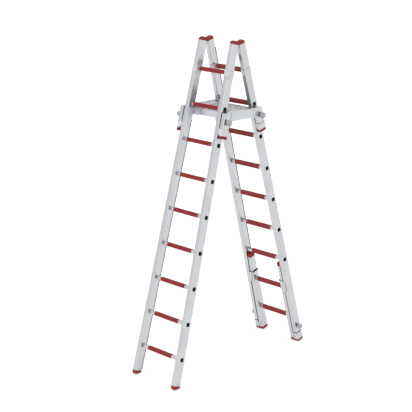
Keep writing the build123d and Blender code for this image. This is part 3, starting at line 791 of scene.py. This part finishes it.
pad_painted_reflection_plastic = moulded(
    "blue_grey_plastic_painted_reflection", "#BABFC7", "#C9CFD7", roughness=0.6, gloss=0.3, patch=18.0, grit=0.8
)
low, high = (Vector(corner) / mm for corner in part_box("cross_beams"))
pad_levels = (low.z + pad_margin, high.z - pad_margin)
beam_face = high.y - pad_sunk
wedge = bmesh.new()
corners = []
for level in pad_levels:
    stile_face = (hinge.z / mm - level) * math.tan(lean) - pad_seat / math.cos(lean)
    corners += [(beam_face, level), (stile_face, level)]
outline = [wedge.verts.new((pad_reach[0], *corners[i])) for i in (0, 1, 3, 2)]
wedge.faces.new(outline)
moved = bmesh.ops.extrude_face_region(wedge, geom=wedge.faces[:])["geom"]
bmesh.ops.translate(
    wedge, vec=(pad_reach[1] - pad_reach[0], 0, 0), verts=only(bmesh.types.BMVert, moved)
)
inner_end = [v for v in wedge.verts if v.co.x == pad_reach[0] and v.co.y > beam_face]
bmesh.ops.translate(wedge, vec=(pad_slant, 0, 0), verts=inner_end)
bevel(wedge, wedge.edges[:], pad_edge, segments=2)
stile_middle = hinge.z / mm + stile_depth / 2 * math.sin(lean)
cheek_ends = [(stile_middle - level) / math.cos(lean) for level in reversed(pad_levels)]
cheek = bar(cheek_thick, stile_depth - 2 * pad_margin, *cheek_ends, cheek_thick / 3, segments=2)
pads = gather(
    [
        (wedge, Matrix.Scale(mm, 4) @ Matrix.Diagonal((hand, way, 1, 1)))
        for hand in hands
        for way in (-1, 1)
    ]
    + [(cheek, stile_frame(front, hand, 0.0, stile_width + cheek_thick / 2)) for hand in hands]
)
piece("beam_pads", pads, pad_painted_reflection_plastic, "front_ladder", "shoe")
wedge.free()
cheek.free()

# Platform deck: aluminium sheet folded into a shallow tray, its top pressed with rows of small buttons for
# grip. Each button catches the light and the sheet between them stays duller, so that the deck looks
# speckled. The sheet's small pebbles are lighter on top than at their edges, partly as wear and partly as a
# painted highlight.
button_rows = 15
button_columns = 22
button_pitch = (18.4, 16.6)
button_radius = 4.6
button_crown = 2.0
button_height = 1.3
button_sunk = 0.3
pebble = 9.0
pebble_depth = 1.0
dust_patch = 17.0
dust_spots = (0.44, 0.6)
sheet_rough = (0.35, 0.55)

deck_sheet, tree, shader, place = surface("pressed_aluminium_sheet", metallic=1.0)
pebbles = add(tree, "ShaderNodeTexVoronoi", [("Vector", place)], Scale=1 / (pebble * mm))
dust = add(tree, "ShaderNodeTexNoise", [("Vector", place)], Scale=1 / (dust_patch * mm), Detail=3.0)
relief = add(
    tree,
    "ShaderNodeBump",
    [("Height", pebbles.outputs[0])],
    Strength=0.5,
    Distance=pebble_depth * mm,
    invert=True,
)
pebble_tops_worn_and_lit = add(
    tree,
    "ShaderNodeMixRGB",
    [("Fac", pebbles.outputs[0])],
    Color1=linear("#ECEDEE"),
    Color2=linear("#B8BABC"),
)
spots = add(
    tree, "ShaderNodeMapRange", [("Value", dust.outputs[0])], From_Min=dust_spots[0], From_Max=dust_spots[1]
)
dusty = add(
    tree,
    "ShaderNodeMixRGB",
    [("Fac", spots.outputs[0]), ("Color1", pebble_tops_worn_and_lit.outputs[0])],
    Color2=linear("#949698"),
)
rough = add(
    tree, "ShaderNodeMapRange", [("Value", dust.outputs[0])], To_Min=sheet_rough[0], To_Max=sheet_rough[1]
)
tree.links.new(dusty.outputs[0], shader.inputs["Base Color"])
tree.links.new(rough.outputs[0], shader.inputs["Roughness"])
tree.links.new(relief.outputs[0], shader.inputs["Normal"])
dress(deck_sheet, "platform_deck")

button = bmesh.new()
bmesh.ops.create_cone(
    button,
    cap_ends=True,
    segments=10,
    radius1=button_radius,
    radius2=button_crown,
    depth=button_height + button_sunk,
)
rows = [
    (
        (column - (button_columns - 1) / 2 + (row % 2 - 0.5) / 2) * button_pitch[0],
        (row - (button_rows - 1) / 2) * button_pitch[1],
    )
    for row in range(button_rows)
    for column in range(button_columns)
]
lift = deck_top / mm + (button_height - button_sunk) / 2
buttons = gather([(button, Matrix.Scale(mm, 4) @ Matrix.Translation((x, y, lift))) for x, y in rows])
piece("deck_buttons", buttons, deck_sheet, "front_ladder", "deck")
button.free()

# Leg soles: red rubber blocks bonded under the silver shoes of the platform legs, with a black rubber bumper
# next to the stile. A black seal shows between each leg and its shoe, thicker on the rear legs so that their
# seam line shows darker, as painted shade. Black liners fill the gap to the stile and draw its shadow line as
# painted shade, and a thin aluminium cover closes the gap above them.
leg_width = 38.0
shoe_lap = 4.6
leg_start = 548.0
leg_end = 662.0
leg_shoe_end = 718.0
leg_sole_end = 740.0
leg_seal_for_shade = {"front": 0.8, "rear": 4.5}
leg_lap = 3.0
bumper_width = 16.0
bumper_rise = 12.0
liner_gap = 0.7
liner_depth = 18.0
liner_sunk = 1.5
liner_corner = 1.5
lower_liner = 620.0
cover_start = 526.0
cover_thick = 3.0
cover_corner = 0.5

leg_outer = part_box("platform_legs")[1][0] / mm
leg_inner = leg_outer - leg_width
shoe_inner = leg_inner - shoe_lap
sole_width = leg_outer - shoe_inner - bumper_width
sole_height = leg_sole_end - leg_shoe_end
liner_thick = leg_inner - stile_half - leg_end * math.tan(flare) - liner_gap
sole_x = leg_outer - sole_width / 2
bumper_x = shoe_inner + bumper_width / 2
seal_x = leg_inner + leg_width / 2
liner_x = leg_inner - liner_thick / 2
leg_middle = stile_depth / 2
liner_middle = liner_sunk + liner_depth / 2

tread = sole(sole_width, stile_depth, -leg_lap, sole_height)
bumper = sole(bumper_width, stile_depth + 2 * ring_proud, -bumper_rise, sole_height)
long_liner = bar(liner_thick, liner_depth, leg_start, leg_end, liner_corner, segments=3)
short_liner = bar(liner_thick, liner_depth, lower_liner, leg_end, liner_corner, segments=3)
cover = bar(liner_thick, cover_thick, cover_start, lower_liner, cover_corner, segments=2)
soles, bumpers, seals, liners, covers = [], [], [], [], []
for name, flight in flights:
    seal = ring(leg_width + 2 * ring_proud, stile_depth + 2 * ring_proud, leg_seal_for_shade[name], stile_corner)
    for hand in hands:
        for group, shape, x, out, down in (
            (soles, tread, sole_x, leg_middle, leg_shoe_end),
            (bumpers, bumper, bumper_x, leg_middle, leg_shoe_end),
            (seals, seal, seal_x, leg_middle, leg_end),
            (liners, short_liner, liner_x, liner_middle, 0.0),
            (liners, long_liner, liner_x, stile_depth - liner_middle, 0.0),
            (covers, cover, liner_x, cover_thick, 0.0),
        ):
            group.append((shape, flight @ Matrix.Translation((hand * x, out, down))))
piece("leg_tread_soles", gather(soles), red_rubber, "front_ladder", "red_rubber", "leg_soles")
piece("leg_bumpers", gather(bumpers), black_rubber, "front_ladder", "black_plug")
piece("leg_shoe_seals", gather(seals), black_rubber, "front_ladder", "black_plug")
piece("leg_gap_shade_liners", gather(liners), black_rubber, "front_ladder", "black_plug")
piece("leg_gap_covers", gather(covers), leg_tube, "front_ladder", "aluminium")
for shape in (tread, bumper, long_liner, short_liner, cover, seals[0][0], seals[-1][0]):
    shape.free()

# Clamp knobs: grey plastic star heads moulded on steel screws, one on each platform leg and at the foot of
# each rear stile. A collar keeps the head off the tube, and a round pad presses on the stile.
knob_radius = {"platform": 23.3, "base": 19.3}
knob_lobe = 3.2
knob_lobes = 5
knob_head = 22.0
knob_edge = 3.0
knob_dish = ((0.6, 0.0), (0.55, 1.5), (0.42, 1.5), (0.38, 0.7))
knob_collar = 12.0
knob_top = knob_collar + knob_head
collar_radius = 10.0
screw_radius = 6.0
pad_radius = 12.0
pad_thick = 4.0
knob_level = {"platform_knob_front": 609.0, "platform_knob_rear": 599.0, "base_knob": 2561.0}
seat_gap = 0.5
tip_gap = 0.6

knob_plastic = moulded(
    "moulded_grey_plastic", "#999B9E", "#B1B3B6", roughness=0.4, gloss=0.5, patch=9.0, grit=0.8
)


def star_head(middle):
    """The lobed head of a middle radius above its collar, with a shallow round dish on top."""
    shape = bmesh.new()
    outline = bmesh.ops.create_circle(shape, cap_ends=True, segments=80, radius=1.0)["verts"]
    for vertex in outline:
        turn = math.atan2(vertex.co.y, vertex.co.x)
        radius = middle + knob_lobe * math.cos(knob_lobes * turn)
        vertex.co = (radius * math.cos(turn), radius * math.sin(turn), knob_collar)
    moved = bmesh.ops.extrude_face_region(shape, geom=shape.faces[:])["geom"]
    top = only(bmesh.types.BMFace, moved)[0]
    bmesh.ops.translate(shape, vec=(0, 0, knob_head), verts=top.verts)
    shape.normal_update()
    bevel(shape, rim(shape, knob_top) + rim(shape, knob_collar), knob_edge, segments=3)
    top = top_face(shape)
    for share, depth in knob_dish:
        bmesh.ops.inset_region(shape, faces=[top], thickness=0.0)
        for vertex in top.verts:
            turn = math.atan2(vertex.co.y, vertex.co.x)
            radius = share * middle
            vertex.co = (radius * math.cos(turn), radius * math.sin(turn), knob_top - depth)
    return shape


def turned_screw(length, pad):
    """Collar, screw and pad as one turned profile, from the seat down to the tip."""
    profile = [(0.0, -length), (pad or screw_radius, -length)]
    if pad:
        profile += [(pad, pad_thick - length), (screw_radius, pad_thick - length)]
    profile += [(screw_radius, 0.0), (collar_radius, 0.0), (collar_radius, knob_collar), (0.0, knob_collar)]
    shape = bmesh.new()
    corners = [shape.verts.new((radius, 0.0, level)) for radius, level in profile]
    edges = [shape.edges.new(pair) for pair in zip(corners, corners[1:])]
    bmesh.ops.spin(
        shape,
        geom=corners + edges,
        cent=(0, 0, 0),
        axis=(0, 0, 1),
        angle=2 * math.pi,
        steps=40,
        use_merge=True,
    )
    bmesh.ops.remove_doubles(shape, verts=shape.verts, dist=hair)
    return shape


stile_outer = stile_half + knob_level["base_knob"] * math.tan(flare)
for name, flight, outer, clamped, pad in (
    ("platform_knob_front", front, leg_outer, 0.0, pad_radius),
    ("platform_knob_rear", rear, leg_outer, 0.0, pad_radius),
    ("base_knob", rear, stile_outer, stile_width + nest_gap, 0.0),
):
    down = knob_level[name]
    head = star_head(knob_radius[name.split("_")[0]])
    tip = stile_half + down * math.tan(flare) - clamped + tip_gap
    screw = turned_screw(outer + seat_gap - tip, pad)
    for side, hand in zip(sides, hands):
        seat = (
            flight
            @ Matrix.Translation((hand * (outer + seat_gap), stile_depth / 2, down))
            @ Matrix.Rotation(hand * math.pi / 2, 4, "Y")
        )
        body = f"{name}_{side}"
        piece(f"{body}_star", gather([(head, seat), (screw, seat)]), knob_plastic, body, "knob", body)
    screw.free()
    head.free()

# Floor: a pale painted studio floor, so bright that it runs into the white room and keeps only a faint
# shadow. The paint is dead flat and has a slight roller texture.
floor_size = 60.0
floor_glow = 0.3
roller_mark = 25.0


def seen_rays(tree):
    """1 for what the camera, a reflection or clear glass looks at, and 0 for what only lights the object."""
    ray = add(tree, "ShaderNodeLightPath").outputs
    seen = add(
        tree, "ShaderNodeMath", [(0, ray["Is Camera Ray"]), (1, ray["Is Glossy Ray"])], operation="MAXIMUM"
    )
    seen = add(
        tree, "ShaderNodeMath", [(0, seen.outputs[0]), (1, ray["Is Transmission Ray"])], operation="MAXIMUM"
    )
    return seen.outputs[0]


floor_paint, tree, shader, place = surface("painted_studio_floor")
roller = add(tree, "ShaderNodeTexNoise", [("Vector", place)], Scale=1 / (roller_mark * mm))
paint = add(
    tree,
    "ShaderNodeMixRGB",
    [("Fac", roller.outputs[0])],
    Color1=linear("#F0F0F0"),
    Color2=linear("#F6F6F6"),
)
glow = add(tree, "ShaderNodeMapRange", [("Value", seen_rays(tree))], To_Max=floor_glow)
tree.links.new(paint.outputs[0], shader.inputs["Base Color"])
tree.links.new(glow.outputs[0], shader.inputs["Emission Strength"])
shader.inputs["Roughness"].default_value = 0.95
shader.inputs["Specular IOR Level"].default_value = 0.0
shader.inputs["Emission Color"].default_value = linear("#FFFFFF")

shape = bmesh.new()
bmesh.ops.create_grid(shape, x_segments=1, y_segments=1, size=floor_size)
floor_mesh = bpy.data.meshes.new("studio_floor")
shape.to_mesh(floor_mesh)
shape.free()
floor_mesh.materials.append(floor_paint)
floor = bpy.data.objects.new("studio_floor", floor_mesh)
bpy.context.collection.objects.link(floor)

# Studio light: a white room, and one very wide soft light from above in front of the ladder.
# It is so wide that metal shows it as a soft sheen and not as a bright line.
room_light = 0.7
light_way = Vector((-0.3, 0.45, -0.8))

world = bpy.data.worlds.new("studio")
bpy.context.scene.world = world
world.use_nodes = True
tree = world.node_tree
room = tree.nodes["Background"]
room.inputs["Color"].default_value = linear("#FFFFFF")
strength = add(tree, "ShaderNodeMapRange", [("Value", seen_rays(tree))], To_Min=room_light, To_Max=1.0)
tree.links.new(strength.outputs[0], room.inputs["Strength"])

lamp = bpy.data.lights.new("soft_light", "SUN")
lamp.energy = 1.2
lamp.angle = math.radians(100.0)
soft_light = bpy.data.objects.new("soft_light", lamp)
soft_light.rotation_euler = light_way.to_track_quat("-Z", "Y").to_euler()
bpy.context.collection.objects.link(soft_light)

# Camera: a long lens from about ten metres, at the front right, a little above the ladder's head.
# Its place and turn were worked out from the rung ends in the photograph.
eye = Vector((6.6298, -6.8222, 3.9300))
right = Vector((0.7083, 0.7059, 0.0))
up = Vector((-0.1888, 0.1894, 0.9636))
back = Vector((0.6802, -0.6825, 0.2674))

camera = bpy.data.objects.new("camera", bpy.data.cameras.new("camera"))
camera.data.sensor_width = 36.0
camera.data.lens = 107.72
camera.data.clip_end = 200.0
camera.matrix_world = Matrix.Translation(eye) @ Matrix((right, up, back)).transposed().to_4x4()
bpy.context.collection.objects.link(camera)
bpy.context.scene.camera = camera
bpy.context.scene.view_settings.view_transform = "Standard"
